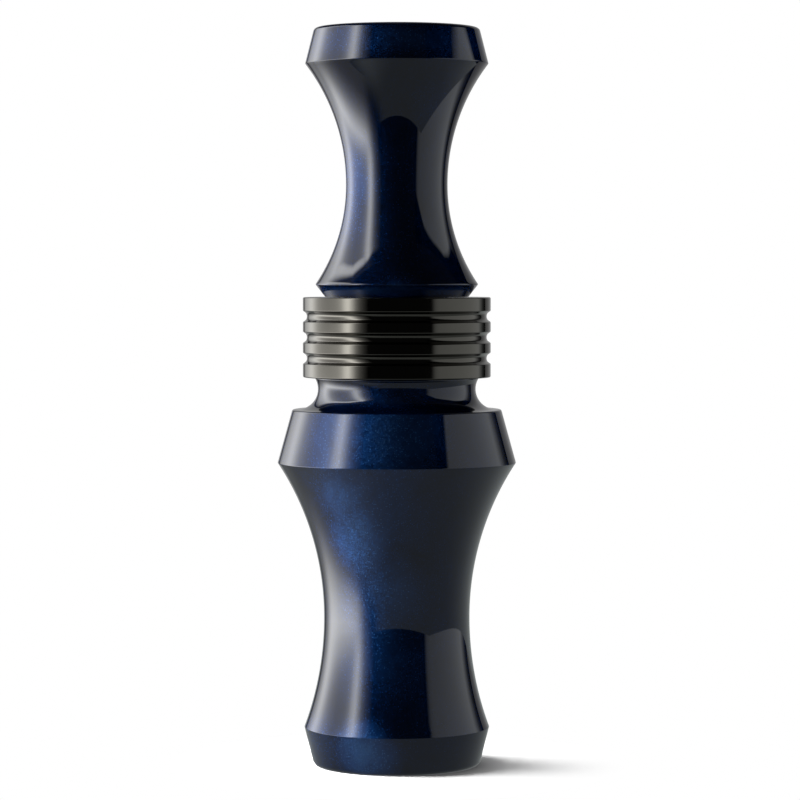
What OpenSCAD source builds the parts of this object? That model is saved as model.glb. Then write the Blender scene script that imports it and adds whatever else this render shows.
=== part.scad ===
// Duck call, standing on its mouthpiece. The barrel is below, the insert above.
// Origin: centre of the mouthpiece lip. +Z runs up the bore, towards the exhaust.
// The reed face of the tone board looks along -Y. All sizes are in millimetres.

/* [Barrel] */
// Length from the lip to the end face that the insert seats on
barrel_length = 74.9; // [62:0.1:92]
// Diameter of the straight bore
bore_d = 15.9; // [13.2:0.1:19.1]
// Diameter of the widest edge, at the shoulder
shoulder_d = 38.1; // [31.7:0.1:46]
// Height of the bevel from the widest edge up to the lanyard groove
shoulder_bevel_h = 8.5; // [6:0.1:11]
// How much narrower in radius that bevel is at its top
shoulder_bevel_in = 2.35; // [1:0.05:3.5]
// Diameter at the waist of the barrel
barrel_waist_d = 23.3; // [21.5:0.1:28]
// Height of the waist above the lip
barrel_waist_z = 23.7; // [18:0.1:30]
// Diameter of the edge above the lip
lip_edge_d = 29.6; // [25.5:0.1:36]
// Height of that edge above the lip
lip_edge_z = 6.1; // [4:0.1:9]
// How much narrower in radius the lip is at the bottom
lip_bevel_in = 1.5; // [0.5:0.05:2]
// Depth of the flare inside the mouthpiece
mouth_depth = 7; // [4:0.1:10]
// Width in radius that the flare opens by at the lip
mouth_flare = 2.3; // [1:0.05:2.6]

/* [Lanyard groove] */
// Diameter at the bottom of the groove
neck_d = 25.2; // [23.4:0.1:26]
// Radius of the groove's round section
groove_r = 3.28; // [2.6:0.02:4]
// Distance from the underside of the band down to the narrowest point
groove_drop = 1.85; // [0.8:0.05:2.2]

/* [Band] */
// Outer diameter of the band
band_d = 30; // [28.5:0.1:36]
// Height of the band
band_h = 12.8; // [10.9:0.1:15.8]
// Diameter of the barrel's end that the band is fitted on
band_seat_d = 25.4; // [23:0.1:26]
// Number of round grooves in the band
band_grooves = 3; // [1:1:4]
// Distance from one groove to the next
band_groove_pitch = 3.34; // [2:0.02:3.6]
// Depth of a groove
band_groove_depth = 0.65; // [0.3:0.05:0.9]
// Width of a groove at the surface
band_groove_w = 1.8; // [1:0.02:1.8]

/* [Insert] */
// Length of the insert outside the barrel
insert_length = 42.8; // [35.8:0.05:51.5]
// Diameter of the edge below the end rim
rim_d = 29.2; // [24.5:0.1:35]
// Height of the end rim
rim_h = 5.7; // [4:0.1:8]
// How much narrower in radius the rim is at its top
rim_bevel_in = 1.45; // [0.5:0.05:2]
// Diameter at the waist of the insert
insert_waist_d = 16.2; // [15:0.05:19]
// Height of the waist above the seat
insert_waist_z = 17.9; // [15:0.1:22]
// Diameter of the edge above the seat
heel_edge_d = 26; // [22:0.1:29]
// Height of that edge above the seat
heel_edge_z = 2; // [1.2:0.1:3]
// How much narrower in radius the insert is where it seats
heel_bevel_in = 1.55; // [0.4:0.05:1.8]
// Diameter of the exhaust bore at the waist
exhaust_d = 10; // [8:0.1:12]
// Width in radius that the exhaust opens by at its mouth
exhaust_flare = 4.4; // [2:0.1:4.6]
// Length of the flared part of the exhaust
exhaust_flare_l = 20; // [12:0.1:22]

/* [Tone board] */
// Length from the seat down to the nose
board_length = 60; // [50:0.5:72]
// Diameter of the shank that is fitted in the insert
shank_d = 12.7; // [11.5:0.1:13]
// Length of the shank
shank_length = 13; // [9:0.5:14]
// Length of the full-round plug, down to the mouth of the wedge notch
plug_length = 23; // [22:0.5:27]
// Distance from the bore's axis to the flat that the reeds lie on
reed_flat = 2.2; // [1.8:0.1:2.6]
// Gap between the lower reed's tip and the curved face, with the reed at rest
tip_gap = 1.4; // [1:0.05:2]
// Width of the tone channel
channel_d = 6.4; // [5.4:0.1:7]
// Depth of the tone channel below the flat
channel_depth = 5.8; // [5:0.1:6.2]
// Depth of the channel below the reed's tip gap, at its nose end
channel_start_depth = 1.2; // [0.6:0.1:2]
// Length over which the channel's floor ramps down
channel_ramp = 18; // [10:0.5:26]
// Length of the nose beyond the tone channel
nose_length = 3; // [2:0.1:5]

/* [Wedge and reeds] */
// Length of the notch that holds the wedge
notch_length = 10; // [8:0.5:11]
// Height of the notch at its mouth
notch_h = 3.9; // [3.2:0.05:4.1]
// How much lower the notch is at its back
notch_taper = 0.8; // [0.4:0.05:1.2]
// How far the wedge stands out of the notch
wedge_proud = 2; // [1:0.1:3]
// Thickness of the lower reed
lower_reed_t = 0.3; // [0.25:0.01:0.36]
// Thickness of the upper reed
upper_reed_t = 0.25; // [0.2:0.01:0.36]
// Distance that the reeds' edges stay inside the bore's wall
reed_inset = 1.15; // [1:0.05:1.6]
// How much shorter than the lower reed the upper one is
upper_reed_short = 2.2; // [1:0.1:3]
// Share of the free length, from the wedge, at which a reed is taken to bend
bend_share = 0.35; // [0.25:0.01:0.45]

/* [O-rings] */
// Thickness of an O-ring
o_ring_t = 1.56; // [1.3:0.02:1.9]
// Distance from the seat down to the first O-ring
o_ring_z = 4; // [3.4:0.1:5]
// Distance from one O-ring to the next
o_ring_pitch = 4.3; // [3.6:0.1:5]
// Width of an O-ring's groove
o_ring_groove_w = 2.3; // [2:0.05:2.6]

/* [Clearances] */
// Gap in radius at a glued or pressed seat
glue_gap = 0.02; // [0.01:0.01:0.05]
// Gap in radius between the plug and the bore
plug_gap = 0.15; // [0.1:0.01:0.3]
// Gap between an O-ring and what it bears on
o_ring_gap = 0.02; // [0.01:0.01:0.05]
// Gap between the insert and the end of the barrel
seat_gap = 0.05; // [0.02:0.01:0.2]
// Gap between one reed and the next
reed_gap = 0.12; // [0.05:0.01:0.2]
// Gap at the line where a reed is taken to bend
bend_gap = 0.05; // [0.02:0.01:0.1]

/* [Edges] */
// Radius of the lip's outer edge
lip_edge_r = 0.9; // [0.3:0.05:1.2]
// Radius of the rim's outer edge
rim_edge_r = 0.75; // [0.3:0.05:1.2]
// Radius of the shoulder's upper edge
shoulder_edge_r = 0.35; // [0.1:0.05:0.4]
// Radius of the inner edge at the lip and at the exhaust's mouth
mouth_edge_r = 0.4; // [0.1:0.05:0.6]
// Size of the lead-in chamfer at the top of the bore
lead_in = 0.5; // [0.2:0.1:1]
// Size of the band's edge chamfers
band_chamfer = 0.2; // [0.1:0.05:0.4]

/* [Hidden] */
$fn = 180;
fine_fn = 360;      // round stretches of large radius
arc_steps = 14;     // points along a flare's arc
edge_steps = 6;     // points along a rounded edge
cut = 1;            // how far a cutter runs past what it cuts
reach = 30;         // further out than any surface

// Barrel, worked out
bore_r = bore_d / 2;
shoulder_r = shoulder_d / 2;
band_seat_r = band_seat_d / 2;
band_bottom = barrel_length - band_h;
groove_z = band_bottom - groove_drop;
groove_centre_r = neck_d / 2 + groove_r;
shoulder_top_z = groove_z - groove_r;
shoulder_z = shoulder_top_z - shoulder_bevel_h;
shoulder_top_r = shoulder_r - shoulder_bevel_in;
lip_r = lip_edge_d / 2 - lip_bevel_in;
mouth_r = bore_r + mouth_flare;

// Insert, worked out
seat_z = barrel_length + seat_gap;
top_z = seat_z + insert_length;
rim_z = top_z - rim_h;
rim_top_r = rim_d / 2 - rim_bevel_in;
seat_r = heel_edge_d / 2 - heel_bevel_in;
exhaust_r = exhaust_d / 2;
socket_r = shank_d / 2;

// Tone board, worked out
plug_r = bore_r - plug_gap;
nose_z = seat_z - board_length;
notch_mouth_z = seat_z - plug_length;
notch_back_z = notch_mouth_z + notch_length;
wedge_front_z = notch_mouth_z - wedge_proud;
channel_r = channel_d / 2;
channel_y = channel_depth - reed_flat - channel_r;          // axis of the channel's round bottom
nose_chamfer = 1;
expansion_max_r = 4.4;
groove_wall = 1.2;      // least wall left under an O-ring groove
shank_wall = 1.5;       // least wall left in the shank
notch_land = 1.6;       // length left between the notch and the bore behind it
expansion_r = min(expansion_max_r, bore_r - o_ring_t - groove_wall, socket_r - shank_wall);
expansion_z = notch_back_z + notch_land;

// O-rings, worked out
o_ring_r = o_ring_t / 2;
o_ring_centre_r = bore_r - o_ring_gap - o_ring_r;
o_ring_floor_r = o_ring_centre_r - o_ring_r - o_ring_gap;

// Reeds, worked out. A layer is the -Y distance from the axis to the underside of each piece.
reed_half_w = bore_r - reed_inset;
heel_gap = 0.15;        // gap between a reed's back edge and the notch's end
nose_land = 0.5;        // how far the nose runs on beyond the lower reed's tip
reed_back_z = notch_back_z - heel_gap;
lower_tip_z = nose_z + nose_land;
upper_tip_z = lower_tip_z + upper_reed_short;
free_length = wedge_front_z - lower_tip_z;
bend_z = wedge_front_z - bend_share * free_length;
face_r = free_length * free_length / (2 * tip_gap);
lower_layer = reed_flat;
upper_layer = lower_layer + lower_reed_t + reed_gap;
wedge_layer = upper_layer + upper_reed_t + glue_gap;
tip_corner_r = 3;
heel_corner_r = 0.6;

// ---- Outline helpers ----

function unit(v) = v / norm(v);

// Points of an arc about c, from angle from_a to to_a.
function arc(c, r, from_a, to_a, steps) =
    [for (i = [0:steps]) let (a = from_a + (to_a - from_a) * i / steps) c + r * [cos(a), sin(a)]];

// Points that round off corner b between its neighbours a and c.
function round_corner(a, b, c, r) =
    let (u = unit(a - b),
         v = unit(c - b),
         half = acos(u * v) / 2,
         centre = b + unit(u + v) * r / sin(half),
         start = b + u * r / tan(half) - centre,
         stop = b + v * r / tan(half) - centre,
         from_a = atan2(start.y, start.x),
         turn = (atan2(stop.y, stop.x) - from_a + 540) % 360 - 180)
    arc(centre, r, from_a, from_a + turn, edge_steps);

// Radius of the arc that is upright at a waist and passes through an edge.
function waist_arc_r(waist, edge) =
    let (dr = edge.x - waist.x, dz = edge.y - waist.y) (dr * dr + dz * dz) / (2 * dr);

// Outline of a flare whose inner radius is bore at z = 0 and bore + opening at z = depth.
function flare(bore, opening, depth) =
    let (r = (opening * opening + depth * depth) / (2 * opening))
    [for (i = [0:arc_steps]) let (a = asin(depth / r) * i / arc_steps)
        [bore + r * (1 - cos(a)), r * sin(a)]];

// Half of a waist: all that lies outside the arc between the waist and an edge.
module waist_cut(waist, edge) {
    r = waist_arc_r(waist, edge);
    intersection() {
        translate([waist.x + r, waist.y]) circle(r, $fn = fine_fn);
        translate([waist.x - cut, min(waist.y, edge.y)]) square([reach, abs(edge.y - waist.y)]);
    }
}

// ---- Barrel and band ----

module barrel() {
    waist = [barrel_waist_d / 2, barrel_waist_z];
    shoulder = [shoulder_r, shoulder_z];
    lip_edge = [lip_edge_d / 2, lip_edge_z];
    shoulder_top = [shoulder_top_r, shoulder_top_z];
    lip = [lip_r, 0];
    mouth = [mouth_r, 0];
    throat = [for (p = flare(bore_r, mouth_flare, mouth_depth)) [p.x, mouth_depth - p.y]];
    neck_top_r = groove_centre_r - sqrt(groove_r * groove_r - groove_drop * groove_drop);
    color("midnightblue")
    rotate_extrude()
    difference() {
        polygon(concat(
            [for (i = [0:arc_steps - 1]) throat[i]],
            round_corner(throat[arc_steps - 1], mouth, lip, mouth_edge_r),
            round_corner(mouth, lip, lip_edge, lip_edge_r),
            [lip_edge, shoulder],
            round_corner(shoulder, shoulder_top, [groove_centre_r, shoulder_top_z], shoulder_edge_r),
            [[groove_centre_r, shoulder_top_z],
             [neck_top_r, band_bottom],
             [band_seat_r, band_bottom],
             [band_seat_r, barrel_length],
             [bore_r + lead_in, barrel_length],
             [bore_r, barrel_length - lead_in]]));
        waist_cut(waist, shoulder);
        waist_cut(waist, lip_edge);
        translate([groove_centre_r, groove_z]) circle(groove_r);
    }
}

module band() {
    outer_r = band_d / 2;
    inner_r = band_seat_r + glue_gap;
    half_w = band_groove_w / 2;
    cutter_r = (half_w * half_w + band_groove_depth * band_groove_depth) / (2 * band_groove_depth);
    first_z = band_bottom + band_h / 2 - band_groove_pitch * (band_grooves - 1) / 2;
    color("dimgray")
    rotate_extrude()
    difference() {
        polygon([
            [inner_r, band_bottom + glue_gap],
            [outer_r - band_chamfer, band_bottom + glue_gap],
            [outer_r, band_bottom + glue_gap + band_chamfer],
            [outer_r, barrel_length - band_chamfer],
            [outer_r - band_chamfer, barrel_length],
            [inner_r, barrel_length]]);
        for (i = [0:band_grooves - 1])
            translate([outer_r + cutter_r - band_groove_depth, first_z + i * band_groove_pitch])
                circle(cutter_r);
    }
}

// ---- Insert and tone board ----

module insert() {
    waist = [insert_waist_d / 2, seat_z + insert_waist_z];
    rim = [rim_d / 2, rim_z];
    heel_edge = [heel_edge_d / 2, seat_z + heel_edge_z];
    rim_top = [rim_top_r, top_z];
    mouth = [exhaust_r + exhaust_flare, top_z];
    bell = [for (p = flare(exhaust_r, exhaust_flare, exhaust_flare_l)) [p.x, top_z - exhaust_flare_l + p.y]];
    socket_top_z = seat_z + shank_length + glue_gap;
    color("midnightblue")
    rotate_extrude()
    difference() {
        polygon(concat(
            [[seat_r, seat_z],
             heel_edge,
             rim],
            round_corner(rim, rim_top, mouth, rim_edge_r),
            round_corner(rim_top, mouth, bell[arc_steps - 1], mouth_edge_r),
            [for (i = [arc_steps - 1:-1:0]) bell[i]],
            [[exhaust_r, socket_top_z],
             [socket_r, socket_top_z],
             [socket_r, seat_z]]));
        waist_cut(waist, rim);
        waist_cut(waist, heel_edge);
    }
}

// A plate across the bore: an outline drawn in Y and Z, extruded along X.
module across(half_w, points) {
    rotate([90, 0, 90])
    linear_extrude(2 * half_w, center = true)
    polygon(points);
}

// What is cut away over the reed face. The face is flat under the wedge, and then an arc.
module reed_face_cut() {
    low_z = nose_z - cut;
    face = [for (i = [0:arc_steps]) let (z = wedge_front_z + (low_z - wedge_front_z) * i / arc_steps)
        [face_r - reed_flat - sqrt(face_r * face_r - pow(wedge_front_z - z, 2)), z]];
    across(reach, concat(face, [[-reach, low_z], [-reach, notch_mouth_z], [-reed_flat, notch_mouth_z]]));
}

// The wedge notch. Its roof comes down towards the back.
module notch_cut() {
    across(reach, [
        [-reed_flat, notch_mouth_z - cut],
        [-reed_flat, notch_back_z],
        [-reed_flat - notch_h + notch_taper, notch_back_z],
        [-reed_flat - notch_h, notch_mouth_z],
        [-reed_flat - notch_h, notch_mouth_z - cut]]);
}

// The tone channel: round at the bottom, open along the reed face, with a ramp at the nose end.
module tone_channel_cut() {
    start_z = nose_z + nose_length;
    stop_z = expansion_z + cut;
    ramp_z = start_z + channel_ramp;
    start_y = tip_gap + channel_start_depth - reed_flat;
    floor_y = channel_y + channel_r + cut;
    open_y = -reed_flat - cut / 2;
    intersection() {
        translate([0, channel_y, start_z - cut]) linear_extrude(stop_z - start_z + cut) {
            circle(channel_r);
            translate([-channel_r, open_y - channel_y]) square([channel_d, channel_y - open_y]);
        }
        across(reach, [[open_y - cut, start_z], [start_y, start_z], [floor_y, ramp_z],
                       [floor_y, stop_z], [open_y - cut, stop_z]]);
    }
}

// The blank, turned in one piece: plug, O-ring grooves, shank and the bore up its middle.
module board_blank() {
    shank_r = socket_r - glue_gap;
    shoulder_z = seat_z - glue_gap;
    top = shoulder_z + shank_length;
    grooves = [for (i = [1:-1:0]) let (z = seat_z - o_ring_z - i * o_ring_pitch, h = o_ring_groove_w / 2)
        each [[plug_r, z - h], [o_ring_floor_r, z - h], [o_ring_floor_r, z + h], [plug_r, z + h]]];
    rotate_extrude()
    polygon(concat(
        [[0, nose_z], [plug_r - nose_chamfer, nose_z], [plug_r, nose_z + nose_chamfer]],
        grooves,
        [[plug_r, shoulder_z], [shank_r, shoulder_z], [shank_r, top],
         [expansion_r, top], [expansion_r, expansion_z], [0, expansion_z]]));
}

module tone_board() {
    color("antiquewhite")
    difference() {
        board_blank();
        reed_face_cut();
        notch_cut();
        tone_channel_cut();
    }
}

module o_ring(index) {
    color("black")
    translate([0, 0, seat_z - o_ring_z - index * o_ring_pitch])
    rotate_extrude()
        translate([o_ring_centre_r, 0]) circle(o_ring_r, $fn = 48);
}

// ---- Wedge and reeds ----

module wedge() {
    slope = notch_taper / notch_length;
    roof = reed_flat + notch_h - glue_gap;
    color("burlywood")
    intersection() {
        across(reed_half_w, [
            [-wedge_layer, wedge_front_z],
            [-wedge_layer, reed_back_z],
            [-roof + slope * (reed_back_z - notch_mouth_z), reed_back_z],
            [-roof + slope * (wedge_front_z - notch_mouth_z), wedge_front_z]]);
        translate([0, 0, wedge_front_z - cut]) cylinder(r = plug_r, h = notch_length + wedge_proud + 2 * cut);
    }
}

// A strip of reed between two heights, lying at a layer. A radius of 0 leaves its corners square.
module reed_strip(layer, thickness, low_z, high_z, low_r, high_r) {
    half_w = reed_half_w;
    corners = [[-half_w, low_z], [half_w, low_z], [half_w, high_z], [-half_w, high_z]];
    radii = [low_r, low_r, high_r, high_r];
    outline = [for (i = [0:3]) each radii[i] == 0
        ? [corners[i]]
        : round_corner(corners[(i + 3) % 4], corners[i], corners[(i + 1) % 4], radii[i])];
    translate([0, -layer, 0])
    rotate([90, 0, 0])
    linear_extrude(thickness)
    polygon(outline);
}

module reed_heel(layer, thickness) {
    color("gainsboro")
    reed_strip(layer, thickness, bend_z + bend_gap / 2, reed_back_z, 0, heel_corner_r);
}

module reed_tongue(layer, thickness, tip_z) {
    color("gainsboro")
    reed_strip(layer, thickness, tip_z, bend_z - bend_gap / 2, tip_corner_r, 0);
}

barrel();
band();
insert();
tone_board();
o_ring(0);  // o_ring_upper
o_ring(1);  // o_ring_lower
wedge();
reed_heel(lower_layer, lower_reed_t);  // lower_reed_heel
reed_tongue(lower_layer, lower_reed_t, lower_tip_z);  // lower_reed_tongue
reed_heel(upper_layer, upper_reed_t);  // upper_reed_heel
reed_tongue(upper_layer, upper_reed_t, upper_tip_z);  // upper_reed_tongue
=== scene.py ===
"""A turned duck call on a pale floor: finished shells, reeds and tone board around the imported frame."""

from __future__ import annotations

import logging
import math
from collections.abc import Sequence
from dataclasses import dataclass, field
from enum import Enum

import bmesh
import bpy
from mathutils import Matrix, Vector


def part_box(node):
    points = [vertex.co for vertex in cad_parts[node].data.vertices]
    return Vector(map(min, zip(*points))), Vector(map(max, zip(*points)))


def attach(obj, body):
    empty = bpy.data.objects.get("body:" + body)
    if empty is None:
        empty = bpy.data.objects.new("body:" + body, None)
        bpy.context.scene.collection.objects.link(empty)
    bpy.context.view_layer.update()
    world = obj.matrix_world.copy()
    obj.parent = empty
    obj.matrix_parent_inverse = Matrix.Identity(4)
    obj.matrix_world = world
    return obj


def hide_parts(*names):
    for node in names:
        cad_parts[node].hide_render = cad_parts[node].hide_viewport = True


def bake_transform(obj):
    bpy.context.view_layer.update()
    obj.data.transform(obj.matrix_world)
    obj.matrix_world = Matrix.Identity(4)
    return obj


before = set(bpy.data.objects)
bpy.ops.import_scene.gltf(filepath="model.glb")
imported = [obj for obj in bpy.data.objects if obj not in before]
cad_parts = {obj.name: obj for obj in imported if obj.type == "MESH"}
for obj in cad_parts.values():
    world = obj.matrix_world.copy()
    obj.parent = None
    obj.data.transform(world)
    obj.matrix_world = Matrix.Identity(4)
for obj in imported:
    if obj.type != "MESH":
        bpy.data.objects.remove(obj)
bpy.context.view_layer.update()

LOG = logging.getLogger("duck_call")
MM = 0.001

NOISE_RANGE = (0.3, 0.7)

Point = tuple[float, float]
Range = tuple[float, float]
Place = tuple[float, float, float]
Colour = tuple[float, float, float]


class Slot(Enum):
    """The record's material slots."""

    ACRYLIC = "pearl_acrylic"
    BAND = "gunmetal_band"
    BOARD = "tone_board_acrylic"
    REED = "reed_film"
    CORK = "cork"
    RUBBER = "o_ring_rubber"


class Body(Enum):
    """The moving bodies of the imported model."""

    BARREL = "barrel"
    O_RINGS = "o_rings"
    INSERT = "insert"
    WEDGE = "wedge"
    LOWER_REED = "lower_reed"
    UPPER_REED = "upper_reed"


# Outlines, in millimetres: a point is (distance from the bore's axis, height)


def arc(centre: Point, radius: float, start: float, stop: float, steps: int) -> list[Point]:
    """Return points along a round stretch.

    Args:
        centre: Middle of the circle.
        radius: Its radius.
        start: First angle, in degrees.
        stop: Last angle, in degrees.
        steps: How many equal steps to take.

    Returns:
        The points, both ends included.
    """
    points = []
    for i in range(steps + 1):
        angle = math.radians(start + (stop - start) * i / steps)
        points.append((centre[0] + radius * math.cos(angle), centre[1] + radius * math.sin(angle)))
    return points


def rounded(before: Point, corner: Point, after: Point, radius: float, steps: int = 5) -> list[Point]:
    """Return the points that round off a corner.

    Args:
        before: A point that the outline comes from.
        corner: The sharp corner.
        after: A point that the outline goes on to.
        radius: Radius of the rounding.
        steps: How many equal steps to take round it.

    Returns:
        The rounded corner's points, in order.
    """
    here = Vector(corner)
    back = (Vector(before) - here).normalized()
    ahead = (Vector(after) - here).normalized()
    half = back.angle(ahead) / 2
    centre = here + (back + ahead).normalized() * (radius / math.sin(half))
    first = here + back * (radius / math.tan(half)) - centre
    last = here + ahead * (radius / math.tan(half)) - centre
    start = math.atan2(first.y, first.x)
    turn = (math.atan2(last.y, last.x) - start + math.pi) % (2 * math.pi) - math.pi
    return arc((centre.x, centre.y), radius, math.degrees(start), math.degrees(start + turn), steps)


def waist_curve(waist: Point, edge: Point, steps: int) -> list[Point]:
    """Return the round hollow from the waist, where it is upright, to an edge, which is left out.

    Args:
        waist: The narrowest point.
        edge: The crease where the hollow ends.
        steps: How many equal steps to take.

    Returns:
        The points, from the waist outwards.
    """
    out, up = edge[0] - waist[0], edge[1] - waist[1]
    radius = (out * out + up * up) / (2 * out)
    reach = math.degrees(math.asin(up / radius))
    points = arc((waist[0] + radius, waist[1]), radius, 180, 180 - reach, steps)
    return points[:-1]


def flare_curve(bore: float, opening: float, depth: float, steps: int = 18) -> list[Point]:
    """Return a flare that starts straight at height 0 and opens by the given width at its depth."""
    radius = (opening * opening + depth * depth) / (2 * opening)
    reach = math.degrees(math.asin(depth / radius))
    return arc((bore + radius, 0.0), radius, 180, 180 - reach, steps)


# Mesh work


def finish_mesh(name: str, shape: bmesh.types.BMesh, merge: float = 1e-7) -> bpy.types.Object:
    """Merge, orient and smooth a shape, and make an object of it.

    Args:
        name: The new object's name.
        shape: The shape, in metres. It is freed.
        merge: Distance under which vertices are merged.

    Returns:
        The object, linked to the scene.
    """
    bmesh.ops.remove_doubles(shape, verts=shape.verts, dist=merge)
    bmesh.ops.recalc_face_normals(shape, faces=shape.faces)
    for face in shape.faces:
        face.smooth = True
    mesh = bpy.data.meshes.new(name)
    shape.to_mesh(mesh)
    shape.free()
    piece = bpy.data.objects.new(name, mesh)
    bpy.context.scene.collection.objects.link(piece)
    return piece


def turned(name: str, outline: Sequence[Point], steps: int) -> bpy.types.Object:
    """Turn a closed outline about the bore's axis, as on a lathe.

    Args:
        name: The new object's name.
        outline: The closed outline's points, in millimetres.
        steps: How many equal steps to take round the axis.

    Returns:
        The turned object.
    """
    shape = bmesh.new()
    ring = [shape.verts.new((r * MM, 0.0, z * MM)) for r, z in outline]
    edges = [shape.edges.new((ring[i - 1], ring[i])) for i in range(len(ring))]
    bmesh.ops.spin(shape, geom=ring + edges, axis=(0, 0, 1), cent=(0, 0, 0), angle=2 * math.pi,
                   steps=steps, use_merge=True, use_duplicate=False)
    return finish_mesh(name, shape)


def weigh_normals(piece: bpy.types.Object) -> None:
    """Let broad faces keep their own shading beside narrow rounded edges."""
    modifier = piece.modifiers.new("weighted_normals", "WEIGHTED_NORMAL")
    modifier.mode = "FACE_AREA"
    modifier.weight = 100
    modifier.keep_sharp = True


def dress(piece: bpy.types.Object, material: bpy.types.Material) -> None:
    """Give a piece its one material, and log the piece."""
    piece.data.materials.clear()
    piece.data.materials.append(material)
    LOG.info("%s: %d faces", piece.name, len(piece.data.polygons))


# Finishes


class Nodes:
    """A node tree with short calls to add nodes and join them."""

    def __init__(self, owner: bpy.types.Material | bpy.types.World) -> None:
        """Empty the owner's node tree, and keep the owner and its tree."""
        owner.use_nodes = True
        self.owner = owner
        self.tree = owner.node_tree
        self.tree.nodes.clear()

    def add(self, kind: str, **settings: object) -> bpy.types.Node:
        """Add a node and set its properties."""
        node = self.tree.nodes.new(kind)
        for name, value in settings.items():
            setattr(node, name, value)
        return node

    def join(self, source: bpy.types.NodeSocket, target: bpy.types.NodeSocket) -> None:
        """Join an output to an input."""
        self.tree.links.new(source, target)

    def feed(self, value: object, target: bpy.types.NodeSocket) -> None:
        """Join a socket to the target, or set the target to a plain value."""
        if isinstance(value, bpy.types.NodeSocket):
            self.join(value, target)
        elif target.type == "RGBA":
            target.default_value = (*value, 1.0)
        else:
            target.default_value = value

    def maths(self, operation: str, *values: object) -> bpy.types.NodeSocket:
        """Return the result of a Math node on sockets or numbers."""
        node = self.add("ShaderNodeMath", operation=operation)
        for value, target in zip(values, node.inputs):
            self.feed(value, target)
        return node.outputs[0]

    def vector(self, operation: str, *values: object) -> bpy.types.Node:
        """Return a Vector Math node fed with sockets or vectors."""
        node = self.add("ShaderNodeVectorMath", operation=operation)
        for value, target in zip(values, node.inputs):
            self.feed(value, target)
        return node

    def span(self, value: object, low: float, high: float, to_low: float = 0.0,
             to_high: float = 1.0, smooth: bool = False) -> bpy.types.NodeSocket:
        """Return a value moved from one range to another, and clamped to it."""
        kind = "SMOOTHSTEP" if smooth else "LINEAR"
        node = self.add("ShaderNodeMapRange", clamp=True, interpolation_type=kind)
        for given, target in zip((value, low, high, to_low, to_high), node.inputs):
            self.feed(given, target)
        return node.outputs[0]

    def ramp(self, value: object, stops: Sequence[Point]) -> bpy.types.NodeSocket:
        """Return a ramp of grey levels over positions from 0 to 1."""
        node = self.add("ShaderNodeValToRGB")
        marks = node.color_ramp.elements
        while len(marks) < len(stops):
            marks.new(0.5)
        for mark, (place, level) in zip(marks, stops):
            mark.position = place
            mark.color = (level, level, level, 1.0)
        self.feed(value, node.inputs[0])
        return node.outputs[0]

    def mix(self, factor: object, first: object, second: object,
            blend: str = "MIX") -> bpy.types.NodeSocket:
        """Return a mix of two colours."""
        node = self.add("ShaderNodeMix", data_type="RGBA", blend_type=blend, clamp_factor=True)
        sockets = (node.inputs[0], node.inputs[6], node.inputs[7])
        for value, target in zip((factor, first, second), sockets):
            self.feed(value, target)
        return node.outputs[2]

    def place(self) -> bpy.types.NodeSocket:
        """Return the place on the object, in metres."""
        return self.add("ShaderNodeTexCoord").outputs["Object"]

    def split(self, place: bpy.types.NodeSocket) -> Sequence[bpy.types.NodeSocket]:
        """Return a place's three coordinates."""
        node = self.add("ShaderNodeSeparateXYZ")
        self.join(place, node.inputs[0])
        return node.outputs

    def stretched(self, place: bpy.types.NodeSocket, shares: Place) -> bpy.types.NodeSocket:
        """Return a place with each coordinate multiplied, which draws a pattern out."""
        return self.vector("MULTIPLY", place, shares).outputs[0]

    def noise(self, place: object, scale: float, detail: float = 2.0, roughness: float = 0.5,
              distortion: float = 0.0) -> bpy.types.NodeSocket:
        """Return a soft noise value."""
        node = self.add("ShaderNodeTexNoise")
        self.feed(place, node.inputs["Vector"])
        node.inputs["Scale"].default_value = scale
        node.inputs["Detail"].default_value = detail
        node.inputs["Roughness"].default_value = roughness
        node.inputs["Distortion"].default_value = distortion
        return node.outputs[0]

    def cells(self, place: object, scale: float, feature: str = "F1") -> bpy.types.Node:
        """Return a Voronoi node."""
        node = self.add("ShaderNodeTexVoronoi", feature=feature)
        self.feed(place, node.inputs["Vector"])
        node.inputs["Scale"].default_value = scale
        return node

    def bump(self, height: object, distance: float, strength: float) -> bpy.types.NodeSocket:
        """Return a normal bent by a height; the distance is in metres."""
        node = self.add("ShaderNodeBump")
        node.inputs["Strength"].default_value = strength
        node.inputs["Distance"].default_value = distance
        self.feed(height, node.inputs["Height"])
        return node.outputs[0]

    def blend(self, share: object, first: bpy.types.Node, second: bpy.types.Node,
              output: str = "ShaderNodeOutputMaterial") -> None:
        """Mix two shaders and join them to the output."""
        node = self.add("ShaderNodeMixShader")
        self.feed(share, node.inputs[0])
        self.join(first.outputs[0], node.inputs[1])
        self.join(second.outputs[0], node.inputs[2])
        self.join(node.outputs[0], self.add(output).inputs[0])

    def surface(self, **values: object) -> bpy.types.Node:
        """Add a Principled shader, set its inputs by name and join it to the output."""
        shader = self.add("ShaderNodeBsdfPrincipled")
        for name, value in values.items():
            self.feed(value, shader.inputs[name.replace("_", " ")])
        self.join(shader.outputs[0], self.add("ShaderNodeOutputMaterial").inputs[0])
        return shader


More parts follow.
